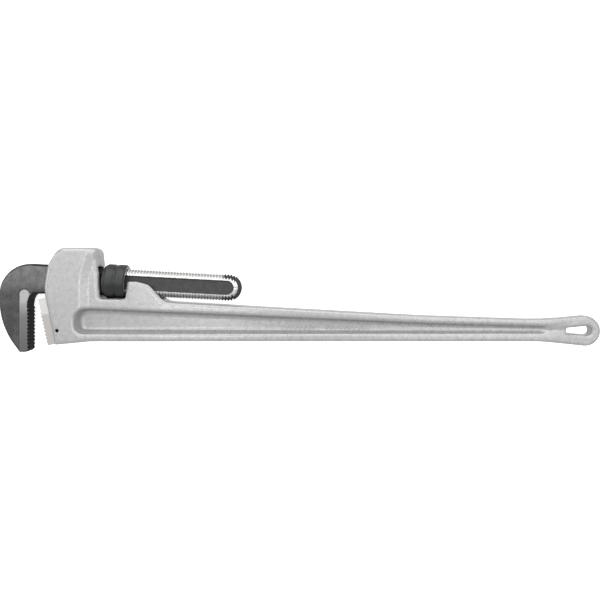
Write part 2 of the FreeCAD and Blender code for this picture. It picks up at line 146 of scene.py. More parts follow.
NUT_RING = (-1.0, 4.0)    # ring groove between the two grip bands
NUT_RING_R = 29.6
NUT_BEVEL = 2.5
NUT_TURNS = 300           # points round the nut
KNURL_PITCH = 2.6
KNURL_DEPTH = 0.5
KNURL_STRETCH = 1.6       # the diamonds' length over their width
KNURL_TOP = 2.2           # the higher, the wider the diamonds' flat tops


def on_shank(along, across):
    """The row frame's (x, y) of a point in the shank's frame, whose origin is the nut's centre."""
    c, s = math.cos(SHANK_LEAN), math.sin(SHANK_LEAN)
    return NUT_CENTRE[0] + along * c - across * s, NUT_CENTRE[1] + along * s + across * c


def to_shank(x, y):
    """A point's place (along, across) in the shank's frame."""
    c, s = math.cos(SHANK_LEAN), math.sin(SHANK_LEAN)
    x, y = x - NUT_CENTRE[0], y - NUT_CENTRE[1]
    return x * c + y * s, y * c - x * s


# ---------------------------------------------------------------- outlines and fields


ARC_STEP = math.radians(9)


def rounded(corners):
    """The points of a closed outline through corners (x, y, radius), rounded by tangent arcs."""
    points = []
    count = len(corners)
    for i, (x, y, radius) in enumerate(corners):
        corner = np.array([x, y])
        back = np.array(corners[i - 1][:2]) - corner
        ahead = np.array(corners[(i + 1) % count][:2]) - corner
        back, ahead = back / np.linalg.norm(back), ahead / np.linalg.norm(ahead)
        half = math.acos(np.clip(back @ ahead, -1, 1)) / 2
        if radius == 0:
            points.append(corner)
            continue
        middle = (back + ahead) / np.linalg.norm(back + ahead)
        centre = corner + middle * radius / math.sin(half)
        start = corner + back * radius / math.tan(half) - centre
        end = corner + ahead * radius / math.tan(half) - centre
        turn = math.atan2(start[0] * end[1] - start[1] * end[0], start @ end)
        steps = max(2, int(abs(turn) / ARC_STEP) + 1)
        for angle in np.linspace(0, turn, steps + 1):
            c, s = math.cos(angle), math.sin(angle)
            points.append(centre + np.array([start[0] * c - start[1] * s, start[0] * s + start[1] * c]))
    return np.array(points)


def outline_distance(points, x, y):
    """Signed distance from each (x, y) to a closed outline, negative inside."""
    best = np.full(x.shape, 1e9)
    inside = np.zeros(x.shape, bool)
    for a, b in zip(points, np.roll(points, -1, axis=0)):
        run = b - a
        length_squared = max(run @ run, 1e-12)
        t = np.clip(((x - a[0]) * run[0] + (y - a[1]) * run[1]) / length_squared, 0, 1)
        away = (x - a[0] - t * run[0]) ** 2 + (y - a[1] - t * run[1]) ** 2
        best = np.minimum(best, away)
        if a[1] != b[1]:
            crosses = (a[1] > y) != (b[1] > y)
            inside ^= crosses & (x < a[0] + (y - a[1]) * run[0] / run[1])
    return np.where(inside, -1, 1) * np.sqrt(best)


def both(a, b, radius):
    """Where both solids are, with the edge they make rounded."""
    corner = np.sqrt(np.maximum(a + radius, 0) ** 2 + np.maximum(b + radius, 0) ** 2)
    return np.minimum(np.maximum(a + radius, b + radius), 0) + corner - radius


def without(a, b, radius):
    """Solid a with b taken out, and the edge round the hole rounded."""
    return both(a, -b, radius)


def fade(value, start, end):
    """0 up to start, 1 from end on, smooth between them; start may be the larger."""
    t = np.clip((value - start) / (end - start), 0, 1)
    return t * t * (3 - 2 * t)


def surface_net(field, xs, ys, zs):
    """Vertices and quads of the surface where a field on a grid is zero."""
    axes = (xs, ys, zs)
    sign = field < 0
    cells = [n - 1 for n in field.shape]
    corner = {}
    for i in (0, 1):
        for j in (0, 1):
            for k in (0, 1):
                corner[i, j, k] = (
                    slice(i, i + cells[0]), slice(j, j + cells[1]), slice(k, k + cells[2])
                )
    count = sum(sign[s].astype(np.int8) for s in corner.values())
    active = np.argwhere((count > 0) & (count < 8))
    place = np.full(cells, -1, np.int64)
    place[tuple(active.T)] = np.arange(len(active))
    total = np.zeros((len(active), 3))
    hits = np.zeros(len(active))
    for axis in range(3):
        others = [a for a in range(3) if a != axis]
        for first in (0, 1):
            for second in (0, 1):
                low = active.copy()
                low[:, others[0]] += first
                low[:, others[1]] += second
                high = low.copy()
                high[:, axis] += 1
                f0, f1 = field[tuple(low.T)], field[tuple(high.T)]
                cut = (f0 < 0) != (f1 < 0)
                t = np.where(cut, f0 / np.where(cut, f0 - f1, 1), 0)
                for a in range(3):
                    at = axes[a][low[:, a]]
                    if a == axis:
                        at = at + t * (axes[a][high[:, a]] - at)
                    total[:, a] += np.where(cut, at, 0)
                hits += cut
    vertices = total / hits[:, None]
    quads = []
    for axis in range(3):
        b, c = [a for a in range(3) if a != axis]
        if axis == 1:
            b, c = c, b
        low = [slice(None)] * 3
        high = [slice(None)] * 3
        low[axis], high[axis] = slice(0, -1), slice(1, None)
        change = sign[tuple(low)] != sign[tuple(high)]
        edges = np.argwhere(change)
        edges = edges[(edges[:, b] > 0) & (edges[:, c] > 0)]
        edges = edges[(edges[:, b] < field.shape[b] - 1) & (edges[:, c] < field.shape[c] - 1)]
        ring = []
        for step_b, step_c in ((1, 1), (0, 1), (0, 0), (1, 0)):
            cell = edges.copy()
            cell[:, b] -= step_b
            cell[:, c] -= step_c
            ring.append(place[tuple(cell.T)])
        ring = np.array(ring).T
        starts_inside = sign[tuple(edges.T)]
        ring[~starts_inside] = ring[~starts_inside][:, ::-1]
        quads.append(ring)
    return vertices, np.concatenate(quads)


def mesh_piece(name, vertices, faces, sharp):
    """A smooth piece from vertices in millimetres, with its edges over sharp degrees kept hard."""
    mesh = bpy.data.meshes.new(name)
    faces = np.asarray(faces)
    corners = faces.shape[1]
    mesh.vertices.add(len(vertices))
    mesh.vertices.foreach_set("co", (np.asarray(vertices) * MM).astype(np.float32).ravel())
    mesh.loops.add(faces.size)
    mesh.loops.foreach_set("vertex_index", faces.astype(np.int32).ravel())
    mesh.polygons.add(len(faces))
    mesh.polygons.foreach_set("loop_start", np.arange(0, faces.size, corners, dtype=np.int32))
    mesh.polygons.foreach_set("use_smooth", np.ones(len(faces), bool))
    mesh.update(calc_edges=True)
    mesh.validate()
    mesh.set_sharp_from_angle(angle=math.radians(sharp))
    piece = bpy.data.objects.new(name, mesh)
    bpy.context.scene.collection.objects.link(piece)
    return piece


# ---------------------------------------------------------------- casting


# Outlines seen along Z, as corners (x, y, radius).
CASTING_OUTLINE = (
    # heel jaw's foot, then the handle's lower edge
    (37.9, -38.2, 3), (98, -32.4, 250), (900, -33.4, 250),
    # hanging eye
    (1006.5, -44.6, 26.6), (1006.5, 14.8, 26.6),
    # handle's upper edge
    (905, 5, 500), (690, 12, 1500), (258, 35.6, 120),
    # saddle behind the nut
    (231, 37.6, 24), (203, 68.4, 18), (181, 74.2, 25), (163.8, 74.2, 6),
    # nut's pocket
    (160.9, POCKET_FLOOR_Y, 4.5), (117.5, POCKET_FLOOR_Y, 4.5),
    # head, over its top and down its front
    (116.2, 103, 40), (113.2, 133.5, 12), (43.5, 134, 22), (24.6, 103.6, 40), (18.2, 64, 40),
    (20.4, 44.6, 30),
)
WEB_LIP = (
    (71.5, -20.0, 17), (950, -21, 5), (950, -6.4, 5), (700, 0.2, 800), (106, 26, 300), (71.5, 26, 20),
)
WEB_FLOOR = (
    (79.5, -13.2, 10), (905, -15, 2.5), (905, -8.6, 2.5), (700, -3.6, 800), (106, 21.6, 300),
    (79.5, 21.6, 15),
)
EYE_HOLE = ((945.5, -19.4, 5), (991, -23.4, 8), (991, -5.4, 8), (945.5, -9.6, 4.5))

RIDGE_FOOT = (81.3, 62.0)     # below this the ridge between cheek and neck is straight
RIDGE_LEAN = (13.0, 58.0)     # how far it leans back, at this height above its foot
RIDGE_CURVE = 1.8
RIDGE_WIDTH = 16.0            # from the ridge down to the neck's full depth
HANDLE_FROM_X = 118.0
HANDLE_X = (98, 222, 262, 915, 955, 1030)
HANDLE_HALF = (23.2, 22.6, 20.6, 14.2, 12.5, 12.5)   # half the handle's thickness at HANDLE_X

# Radii of the casting's rounded edges, and of the edges round what is cut into it.
EDGE_R = 3.2
EDGE_TOP_MORE = 2.6           # on the upper edges, and once more on the head's
EDGE_NUT_MORE = 2.2           # beside the nut
EDGE_CORNER_MORE = 4.5        # on the head's corner over the nut
WEB_LIP_R = 3.0
SLOT_EDGE_R = 1.6
SLOT_CORNER_R = 1.0
NUT_ROOM_EDGE_R = 1.0
EYE_EDGE_R = 4.0
SEAT_EDGE_R = 0.8
PIN_EDGE_R = 0.3

# The shank's slot, along and across the shank.
SLOT_FRONT = -150.0
SLOT_BACK = 130.0
SLOT_BACK_TOP = 60.0
SLOT_STEP = (-98.0, -102.0)   # its floor drops between these
SLOT_DROP = (-32.0, -33.0)    # floor after the drop and at the front


def half_thickness(x, y):
    """Half the casting's thickness: thick cheeks, a neck beside the nut and a tapering handle."""
    above_foot = np.maximum(y - RIDGE_FOOT[1], 0)
    ridge_x = RIDGE_FOOT[0] + RIDGE_LEAN[0] * (above_foot / RIDGE_LEAN[1]) ** RIDGE_CURVE
    neck = np.clip((x - ridge_x) / RIDGE_WIDTH, 0, 1)
    head = HEAD_HALF - (HEAD_HALF - NECK_HALF) * neck
    handle = np.interp(x, HANDLE_X, HANDLE_HALF)
    return np.minimum(head, np.where(x > HANDLE_FROM_X, handle, HEAD_HALF))


def edge_radius(x, y):
    """Radius of the casting's outer edges: softer above, on the head and beside the nut."""
    beside_nut = fade(x, 88, 100) * fade(x, 128, 120) * fade(y, 40, 54)
    on_top = fade(y + 40 * fade(x, 400, -100), -12, 12)
    on_head = fade(x, 130, 90)
    on_corner = fade(x, 92, 106) * fade(y, 84, 100) * fade(x, 130, 122)
    top = EDGE_TOP_MORE * on_top * (1 + on_head)
    return EDGE_R + top + EDGE_NUT_MORE * beside_nut + EDGE_CORNER_MORE * on_corner


def shank_slot(x, y):
    """Distance to the window and groove that the shank passes through, seen along Z."""
    def half_height(along):
        return THREAD_R + SLOT_GAP + ROCK * abs(along)

    corners = [
        (SLOT_FRONT, half_height(SLOT_FRONT)), (0, half_height(0)), (SLOT_BACK, SLOT_BACK_TOP),
        (SLOT_BACK, -half_height(SLOT_BACK)), (0, -half_height(0)),
        (SLOT_STEP[0], -half_height(SLOT_STEP[0])), (SLOT_STEP[1], SLOT_DROP[0]),
        (SLOT_FRONT, SLOT_DROP[1]),
    ]
    return outline_distance(rounded([(*on_shank(*corner), 0) for corner in corners]), x, y)


def web_recess(x, y, z, half):
    """The long pocket in the handle's side: its walls slope in from the lip to the web."""
    lip = outline_distance(rounded(WEB_LIP), x, y)
    floor = outline_distance(rounded(WEB_FLOOR), x, y)
    past_face = 1.2
    depth = np.clip((np.abs(z) - WEB_HALF) / (half - WEB_HALF)[..., None], 0, past_face)
    wall = floor[..., None] + (lip - floor)[..., None] * depth
    return both(wall, WEB_HALF - np.abs(z), WEB_FILLET)


def heel_seat(x, y):
    """The head's front is cut back here for the heel jaw."""
    c, s = math.cos(HEEL_LEAN), math.sin(HEEL_LEAN)
    seat_x = (x - HEEL_TOP[0]) * c + (y - HEEL_TOP[1]) * s - HEEL_THICKNESS - SEAT_GAP
    seat_y = -(x - HEEL_TOP[0]) * s + (y - HEEL_TOP[1]) * c - SEAT_ABOVE
    return np.maximum(seat_x, seat_y)


def heel_pin_hole(x, y):
    c, s = math.cos(HEEL_LEAN), math.sin(HEEL_LEAN)
    pin_x = HEEL_TOP[0] + HEEL_PIN[0] * c - HEEL_PIN[1] * s
    pin_y = HEEL_TOP[1] + HEEL_PIN[0] * s + HEEL_PIN[1] * c
    return np.hypot(x - pin_x, y - pin_y) - HEEL_PIN_R


def casting_field(xs, ys, zs):
    x, y = np.meshgrid(xs, ys, indexing="ij")
    z = zs[None, None, :]
    through = 0 * z
    half = half_thickness(x, y)
    outside = outline_distance(rounded(CASTING_OUTLINE), x, y)
    field = both(outside[..., None], np.abs(z) - half[..., None], edge_radius(x, y)[..., None])
    field = without(field, web_recess(x, y, z, half), WEB_LIP_R)
    slot = both(shank_slot(x, y)[..., None], np.abs(z) - SLOT_HALF, SLOT_CORNER_R)
    field = without(field, slot, SLOT_EDGE_R)
    along, across = to_shank(x, y)
    nut_room = np.hypot(across[..., None], z) - NUT_ROOM_R
    nut_room = np.maximum(nut_room, np.maximum(NUT_ROOM[0] - along, along - NUT_ROOM[1])[..., None])
    field = without(field, nut_room, NUT_ROOM_EDGE_R)
    eye = outline_distance(rounded(EYE_HOLE), x, y)
    field = without(field, eye[..., None] + through, EYE_EDGE_R)
    field = without(field, heel_seat(x, y)[..., None] + through, SEAT_EDGE_R)
    field = without(field, heel_pin_hole(x, y)[..., None] + through, PIN_EDGE_R)
    spring_pin = np.hypot(along - SPRING_PIN_AT[0], across - SPRING_PIN_AT[1]) - SPRING_PIN_R
    spring_pin = np.maximum(spring_pin[..., None], z - SPRING_PIN_NEAR)
    return without(field, spring_pin, PIN_EDGE_R)


def grid_line(stops):
    """Grid positions through stops (end, step): each step is used up to its own end."""
    line = [np.array([stops[0][0]])]
    for (start, _), (end, step) in zip(stops, stops[1:]):
        count = max(1, round((end - start) / step))
        line.append(np.linspace(start, end, count + 1)[1:])
    return np.concatenate(line)


def casting():
    """The handle's casting: head, pocket, saddle, I-section and eye, all in one skin."""
    hole, fine, long = 0.75, 1.5, 4.5     # steps at the pins' holes, elsewhere, along the handle
    xs = grid_line([
        (14, 0), (35, fine), (50, hole), (98, fine), (110, hole), (262, fine), (925, long), (1010, fine),
    ])
    ys = grid_line([(-46, 0), (-20, fine), (-5, hole), (38, fine), (50, hole), (137.5, fine)])
    zs = grid_line([(-29.25, 0), (29.25, fine)])
    vertices, faces = surface_net(casting_field(xs, ys, zs), xs, ys, zs)
    piece = mesh_piece("handle_casting", vertices, faces, sharp=50)
    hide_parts("handle")
    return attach(piece, "handle")


def raised_bars():
    """Two rows of short plain bars cast on the upper web, where a maker puts raised words."""
    step, rise, margin = 0.9, 0.45, 3.0
    xs = grid_line([(BAR_ROWS[0][0] - margin, 0), (BAR_ROWS[-1][1] + margin, step)])
    ys = grid_line([(BAR_Y[0] - margin, 0), (BAR_Y[1] + margin, step)])
    zs = grid_line([(WEB_HALF - 2 * rise, 0), (WEB_HALF + BAR_HEIGHT + 2 * rise, rise)])
    x, y = np.meshgrid(xs, ys, indexing="ij")
    z = zs[None, None, :]
    middle_y, half_y = sum(BAR_Y) / 2, (BAR_Y[1] - BAR_Y[0]) / 2
    nothing_near = 1e3
    field = np.full((len(xs), len(ys), len(zs)), nothing_near)
    for start, end, count in BAR_ROWS:
        pitch = (end - start) / count
        for i in range(count):
            off_x = np.abs(x - start - (i + 0.5) * pitch) - BAR_WIDTH / 2
            off_y = np.abs(y - middle_y) - half_y
            bar = both(off_x, off_y, BAR_CORNER_R)[..., None]
            field = np.minimum(field, both(bar, z - WEB_HALF - BAR_HEIGHT, BAR_EDGE_R))
    field = np.maximum(field, WEB_HALF - BAR_ROOT - z)
    vertices, faces = surface_net(field, xs, ys, zs)
    piece = mesh_piece("raised_bars", vertices, faces, sharp=60)
    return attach(piece, "handle")


# ---------------------------------------------------------------- hook jaw


def arc(centre, radius, start, end, count):
    """An arc's points, from its start angle to its end angle in degrees."""
    angles = np.radians(np.linspace(start, end, count))
    return np.stack([centre[0] + radius * np.cos(angles), centre[1] + radius * np.sin(angles)], 1)


def arc_through(first, middle, last, count):
    """Points of the arc from first to last that passes through middle."""
    (ax, ay), (bx, by), (cx, cy) = first, middle, last
    d = 2 * (ax * (by - cy) + bx * (cy - ay) + cx * (ay - by))
    a, b, c = ax * ax + ay * ay, bx * bx + by * by, cx * cx + cy * cy
    x = (a * (by - cy) + b * (cy - ay) + c * (ay - by)) / d
    y = (a * (cx - bx) + b * (ax - cx) + c * (bx - ax)) / d
    start = math.degrees(math.atan2(ay - y, ax - x)) % 360
    end = math.degrees(math.atan2(cy - y, cx - x)) % 360
    return arc((x, y), math.hypot(ax - x, ay - y), start, end, count)


def hook_outline():
    """The hook, from its neck over the crown, down the back and up the toothed face."""
    tip_angle = math.degrees(math.asin((HOOK_BACK[1] - HOOK_TIP_Y) / HOOK_BACK_R))
    crown = arc(HOOK_CROWN, HOOK_CROWN_R, 90, 180, 60)
    back = arc(HOOK_BACK, HOOK_BACK_R, 180, 180 + tip_angle, 60)
    teeth = [(HOOK_TOOTH_X - HOOK_TIP_FLAT, HOOK_TIP_Y)]
    for i in range(HOOK_TEETH):
        tip_y = HOOK_LOWEST_TOOTH_Y + i * TOOTH_PITCH
        teeth.append((HOOK_TOOTH_X, tip_y))
        teeth.append((HOOK_TOOTH_X - TOOTH_DEPTH, tip_y + TOOTH_RAKE * TOOTH_PITCH))
    neck = [
        (NECK_END_X, HOOK_NECK_Y), on_shank(NECK_FADE, -NECK_FADE_HALF),
        on_shank(NECK_FADE, NECK_FADE_HALF), on_shank(NECK_FULL, THREAD_R),
    ]
    return np.concatenate([crown, back, teeth, arc_through(*THROAT, 16), neck])


def shank_field(along, across, z):
    """The bar with flat sides, its thread, its channels and its ball end."""
    past = np.maximum(along - TAIL_CENTRE, 0)
    radius = np.sqrt(past ** 2 + across ** 2 + z ** 2)
    turn = along / THREAD_PITCH - np.arctan2(z, across) / (2 * math.pi)
    off_crest = np.abs(turn - np.round(turn)) * THREAD_PITCH
    groove = np.clip((off_crest - CREST_WIDTH / 2) / FLANK, 0, THREAD_DEPTH)
    groove *= (along > THREAD_START) & (past < THREAD_R / 2)
    bar = (radius - THREAD_R + groove) * THREAD_EASE
    bar = np.maximum(bar, SHANK_START - along)
    side = np.abs(z) - (JAW_HALF - GROUND_CROWN * np.abs(across))
    bar = both(bar, side, SHANK_EDGE_R)
    middle, half_length = sum(CHANNEL) / 2, (CHANNEL[1] - CHANNEL[0]) / 2 - CHANNEL_HALF
    channel = np.hypot(np.maximum(np.abs(along - middle) - half_length, 0), across) - CHANNEL_HALF
    channel = both(channel, JAW_HALF - CHANNEL_DEPTH - np.abs(z), CHANNEL_FILLET)
    bar = without(bar, channel, SHANK_EDGE_R)
    seam = np.maximum(np.abs(across - SEAM_ACROSS) - SEAM_HALF, SEAM[0] - along)
    seam = np.maximum(seam, np.maximum(along - SEAM[1], JAW_HALF - SEAM_DEPTH - np.abs(z)))
    return np.maximum(bar, -seam)


def hook_field(xs, ys, zs):
    x, y = np.meshgrid(xs, ys, indexing="ij")
    z = zs[None, None, :]
    along, across = to_shank(x, y)
    outline = outline_distance(hook_outline(), x, y)
    toothed = fade(x, -34, -26) * fade(y, 50, 42)
    edge = (HOOK_EDGE_R + (TOOTH_EDGE_R - HOOK_EDGE_R) * toothed)[..., None]
    hook = both(outline[..., None], np.abs(z) - JAW_HALF, edge)
    bar = shank_field(along[..., None], across[..., None], z)
    field = np.minimum(hook, bar)
    left, right = MILLED_TOP[0] - MILLED_R, MILLED_TOP[0] + MILLED_R
    milled = outline_distance(rounded([
        (left, MILLED_TOP[1] + MILLED_R, MILLED_R - ARC_SHORT),
        (left, HOOK_TIP_Y - PAST_EDGE, 0),
        (right, HOOK_TIP_Y - PAST_EDGE, 0),
        (right, MILLED_TOP[1] + MILLED_R, MILLED_R - ARC_SHORT),
    ]), x, y)
    milled = np.maximum(milled[..., None], JAW_HALF - MILLED_DEPTH - np.abs(z))
    return without(field, milled, MILLED_EDGE_R)


def hook():
    """The hook jaw's forging: hook, neck and threaded shank, in one skin."""
    xs = grid_line([(-67, 0), (-14, 1.3), (30, 1.6), (68, 1.6), (368, 0.75)])
    ys = grid_line([(-54, 0), (107, 1.1)])
    zs = grid_line([(-18.2, 0), (18.2, 1.1)])
    vertices, faces = surface_net(hook_field(xs, ys, zs), xs, ys, zs)
    piece = mesh_piece("hook_jaw_forging", vertices, faces, sharp=45)
    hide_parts("hook_jaw")
    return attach(piece, "hook_jaw")


# ---------------------------------------------------------------- adjusting nut


def ring_piece(name, section, bend):
    """A closed ring round the shank's axis: section points (along, radius), moved by bend."""
    angles = np.linspace(0, 2 * math.pi, NUT_TURNS, endpoint=False)
    along = np.tile(section[:, 0], (NUT_TURNS, 1))
    radius = np.tile(section[:, 1], (NUT_TURNS, 1))
    angle = np.tile(angles[:, None], (1, len(section)))
    radius = radius + bend(along, radius, angle)
    x, y = on_shank(along, radius * np.cos(angle))
    vertices = np.stack([x, y, radius * np.sin(angle)], axis=-1).reshape(-1, 3)
    rows, columns = len(section), NUT_TURNS
    i, j = np.meshgrid(np.arange(columns), np.arange(rows), indexing="ij")
    nxt, up = (i + 1) % columns, (j + 1) % rows
    faces = np.stack([i * rows + j, i * rows + up, nxt * rows + up, nxt * rows + j], axis=-1)
    return mesh_piece(name, vertices, faces.reshape(-1, 4), sharp=40)


def dense(points, step):
    """A path's points with more between them, no further apart than step."""
    out = []
    for a, b in zip(points, points[1:]):
        count = max(1, math.ceil(math.dist(a, b) / step))
        for t in np.linspace(0, 1, count, endpoint=False):
            out.append((a[0] + (b[0] - a[0]) * t, a[1] + (b[1] - a[1]) * t))
    out.append(points[-1])
    return out


def knurl(along, angle):
    """Height of the grip pattern: two crossing sets of fine diagonal grooves."""
    teeth = round(2 * math.pi * NUT_R / KNURL_PITCH)
    phase = teeth * angle
    lean = 2 * math.pi * along / (KNURL_PITCH * KNURL_STRETCH)
    one = np.abs(np.sin((phase + lean) / 2))
    other = np.abs(np.sin((phase - lean) / 2))
    return KNURL_DEPTH * (np.minimum(np.minimum(one, other) * KNURL_TOP, 1) - 1)


def nut_section(bore_r, mouth_r):
    """The nut's section (along, radius): collar, two grip bands, ring groove and plain bore."""
    collar_r, collar_end, ring_r, bevel = NUT_COLLAR_R, NUT_COLLAR_END, NUT_RING_R, NUT_BEVEL
    ring_low, ring_high = NUT_RING
    outer = [
        (-NUT_HALF, mouth_r), (-NUT_HALF, collar_r - 1.6), (-NUT_HALF + 0.5, collar_r - 0.6),
        (-NUT_HALF + 1.6, collar_r), (collar_end - 2.6, collar_r), (collar_end - 0.8, NUT_R - 0.9),
        (collar_end + 0.4, NUT_R), (ring_low - 0.6, NUT_R), (ring_low, NUT_R - 0.25),
        (ring_low + 0.9, ring_r + 0.25), (ring_low + 1.8, ring_r - 0.05),
        (ring_high - 1.8, ring_r - 0.05), (ring_high - 0.9, ring_r + 0.25),
        (ring_high, NUT_R - 0.25), (ring_high + 0.6, NUT_R),
        (NUT_HALF - bevel - 0.5, NUT_R), (NUT_HALF - bevel + 0.6, NUT_R - 0.6),
        (NUT_HALF - 0.5, NUT_R - bevel + 0.2), (NUT_HALF, NUT_R - bevel - 0.6), (NUT_HALF, mouth_r),
    ]
    inner = [(NUT_HALF, mouth_r), (NUT_HALF - THREAD_DEPTH, bore_r), (-NUT_HALF + THREAD_DEPTH, bore_r)]
    mouth = [inner[-1], (-NUT_HALF, mouth_r)]
    return np.array(dense(outer, 0.55) + dense(inner, 0.5)[1:] + dense(mouth, 0.5)[1:-1])


def adjusting_nut():
    bore_r = THREAD_R - THREAD_DEPTH + THREAD_GAP
    mouth_r = bore_r + THREAD_DEPTH
    foot_half = CREST_WIDTH / 2 + THREAD_GAP

    def bend(along, radius, angle):
        """Cuts the knurl into the grip bands and the thread's room into the bore."""
        on_band = radius > NUT_R - 0.05
        turn = along / THREAD_PITCH - angle / (2 * math.pi)
        off = np.abs(turn - np.round(turn)) * THREAD_PITCH
        room = np.clip(THREAD_DEPTH - (off - foot_half) / FLANK, 0, THREAD_DEPTH)
        in_bore = radius <= mouth_r + 0.01
        inside = np.where(in_bore, np.maximum(bore_r + room - radius, 0), 0)
        return on_band * knurl(along, angle) + inside

    piece = ring_piece("adjusting_nut_body", nut_section(bore_r, mouth_r), bend)
    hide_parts("adjusting_nut")
    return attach(piece, "adjusting_nut")


# ---------------------------------------------------------------- materials


class Shader:
    """A new material's node tree, with short calls for the nodes used here."""

    def __init__(self, name):
        self.material = bpy.data.materials.new(name)
        self.material.use_nodes = True
        self.tree = self.material.node_tree
        self.surface = self.tree.nodes["Principled BSDF"]
        coordinates = self.node("ShaderNodeTexCoord").outputs
        self.place = coordinates["Object"]
        self.object_normal = coordinates["Normal"]

    def node(self, kind, **settings):
        node = self.tree.nodes.new(kind)
        for name, value in settings.items():
            setattr(node, name, value)
        return node

    def put(self, socket, value):
        """Links a socket, or sets it if value is a plain number or colour."""
        if isinstance(value, bpy.types.NodeSocket):
            self.tree.links.new(value, socket)
        else:
            socket.default_value = value

    def noise(self, size_mm, detail=3.0, roughness=0.55, stretch=None):
        node = self.node("ShaderNodeTexNoise")
        self.put(node.inputs["Vector"], self.stretched(stretch) if stretch else self.place)
        node.inputs["Scale"].default_value = 1 / (size_mm * MM)
        node.inputs["Detail"].default_value = detail
        node.inputs["Roughness"].default_value = roughness
        return node.outputs["Fac"]

    def stretched(self, scale):
        node = self.node("ShaderNodeMapping")
        self.put(node.inputs["Vector"], self.place)
        node.inputs["Scale"].default_value = scale
        return node.outputs["Vector"]

    def cells(self, size_mm):
        """A random colour for each cell of about this size."""
        node = self.node("ShaderNodeTexVoronoi")
        self.put(node.inputs["Vector"], self.place)
        node.inputs["Scale"].default_value = 1 / (size_mm * MM)
        return node.outputs["Color"]

    def math(self, operation, a, b=0.0):
        node = self.node("ShaderNodeMath", operation=operation)
        self.put(node.inputs[0], a)
        self.put(node.inputs[1], b)
        return node.outputs[0]

    def between(self, value, low, high):
        """0 at low, 1 at high, clamped, smooth."""
        node = self.node("ShaderNodeMapRange", interpolation_type="SMOOTHSTEP")
        self.put(node.inputs["Value"], value)
        node.inputs["From Min"].default_value = low
        node.inputs["From Max"].default_value = high
        return node.outputs["Result"]

    def scale(self, value, low, high):
        """A value that runs 0 to 1, spread from low to high."""
        node = self.node("ShaderNodeMapRange")
        self.put(node.inputs["Value"], value)
        node.inputs["To Min"].default_value = low
        node.inputs["To Max"].default_value = high
        return node.outputs["Result"]

    def mix(self, share, a, b):
        node = self.node("ShaderNodeMix", data_type="RGBA")
        self.put(node.inputs["Factor"], share)
        self.put(node.inputs["A"], a)
        self.put(node.inputs["B"], b)
        return node.outputs["Result"]

    def bump(self, height, depth_mm, under=None):
        node = self.node("ShaderNodeBump")
        node.inputs["Strength"].default_value = 1.0
        node.inputs["Distance"].default_value = depth_mm * MM
        self.put(node.inputs["Height"], height)
        if under is not None:
            self.put(node.inputs["Normal"], under)
        return node.outputs["Normal"]

    def convex_edges(self, low=0.52, high=0.58):
        node = self.node("ShaderNodeNewGeometry")
        return self.between(node.outputs["Pointiness"], low, high)

    def split(self, vector):
        node = self.node("ShaderNodeSeparateXYZ")
        self.put(node.inputs["Vector"], vector)
        return node.outputs["X"], node.outputs["Y"], node.outputs["Z"]

    def shank_place(self):
        """Along, across and height in the shank's frame, in millimetres."""
        node = self.node("ShaderNodeMapping", vector_type="TEXTURE")
        self.put(node.inputs["Vector"], self.place)
        node.inputs["Location"].default_value = Vector(NUT_CENTRE) * MM
        node.inputs["Rotation"].default_value = (0, 0, SHANK_LEAN)
        node.inputs["Scale"].default_value = (MM, MM, MM)
        return self.split(node.outputs["Vector"])

    def finish(self, colour, roughness, metallic, normal=None, **fixed):
        self.put(self.surface.inputs["Base Color"], colour)
        self.put(self.surface.inputs["Roughness"], roughness)
        self.put(self.surface.inputs["Metallic"], metallic)
        if normal is not None:
            self.put(self.surface.inputs["Normal"], normal)
        for name, value in fixed.items():
            self.surface.inputs[name.replace("_", " ")].default_value = value
        return self.material


def grey(value, warmth=0.0):
    """A grey, warmer above 0 and cooler below."""
    return (value * (1 + warmth), value, value * (1 - warmth), 1)


def cast_aluminium():
    """Silver-grey skin of a sand casting: fine sparkle, mottling, small dents, and lighter convex edges
    that are partly wear and partly a painted highlight.
    """
    s = Shader("cast_aluminium")
    flake = s.split(s.cells(1.1))[0]
    mottle = s.noise(9, detail=5, roughness=0.6)
    cloud = s.noise(40, detail=3)
    grain = s.noise(1.8, detail=4, roughness=0.6)
    base = s.mix(s.between(mottle, 0.3, 0.7), grey(0.325), grey(0.375))
    base = s.mix(s.math("MULTIPLY", cloud, 0.25), base, grey(0.44, -0.01))
    sparkle = s.math("POWER", flake, 7.0)
    base = s.mix(s.math("MULTIPLY", sparkle, 0.22), base, grey(0.72))
    # Convex edges lighter: partly wear, partly a painted highlight on crests and ridges.
    base = s.mix(s.math("MULTIPLY", s.convex_edges(), 0.3), base, grey(0.60))
    unevenness = s.math("ADD", s.math("MULTIPLY", grain, 0.6), s.math("MULTIPLY", mottle, 0.4))
    roughness = s.scale(unevenness, 0.22, 0.34)
    normal = s.bump(s.noise(7, detail=3), 0.18)
    normal = s.bump(grain, 0.045, under=normal)
    return s.finish(base, roughness, 0.45, normal)


# Where the hook jaw's looks change, each from one end of a soft border to the other.
FLAT_HEIGHT = (JAW_HALF - 1.1, JAW_HALF - 0.8)      # height of the ground flats
THREAD_ACROSS = (12.4, 13.2)                        # off the axis, the machined edges
THREAD_OUTER = (19.0, 21.0)                         # off the axis, the thread's outer part
GROOVE_R = (THREAD_R - 0.7, THREAD_R - 1.9)         # from a crest to a groove's floor
GROUND_ALONG = (-9.0, -3.0)                         # grinding begins beside the nut
TAIL_ALONG = (196.0, 186.0)                         # grinding ends before the tail
HOOK_ALONG = (-145.0, -147.0)                       # the hook, with its milled strip
NUT_SHADE_ALONG = ((-80.0, -74.0), (30.0, 18.0))          # the stretch in the nut and the head, painted dark as shade
SCALE_ALONG = (-20.0, 0.0)                          # the bar's scale is darker than the hook's
# along the bar, where the painted shade on sideways faces turns a little lighter
SIDE_SHADE_ALONG = (-20.0, 30.0)


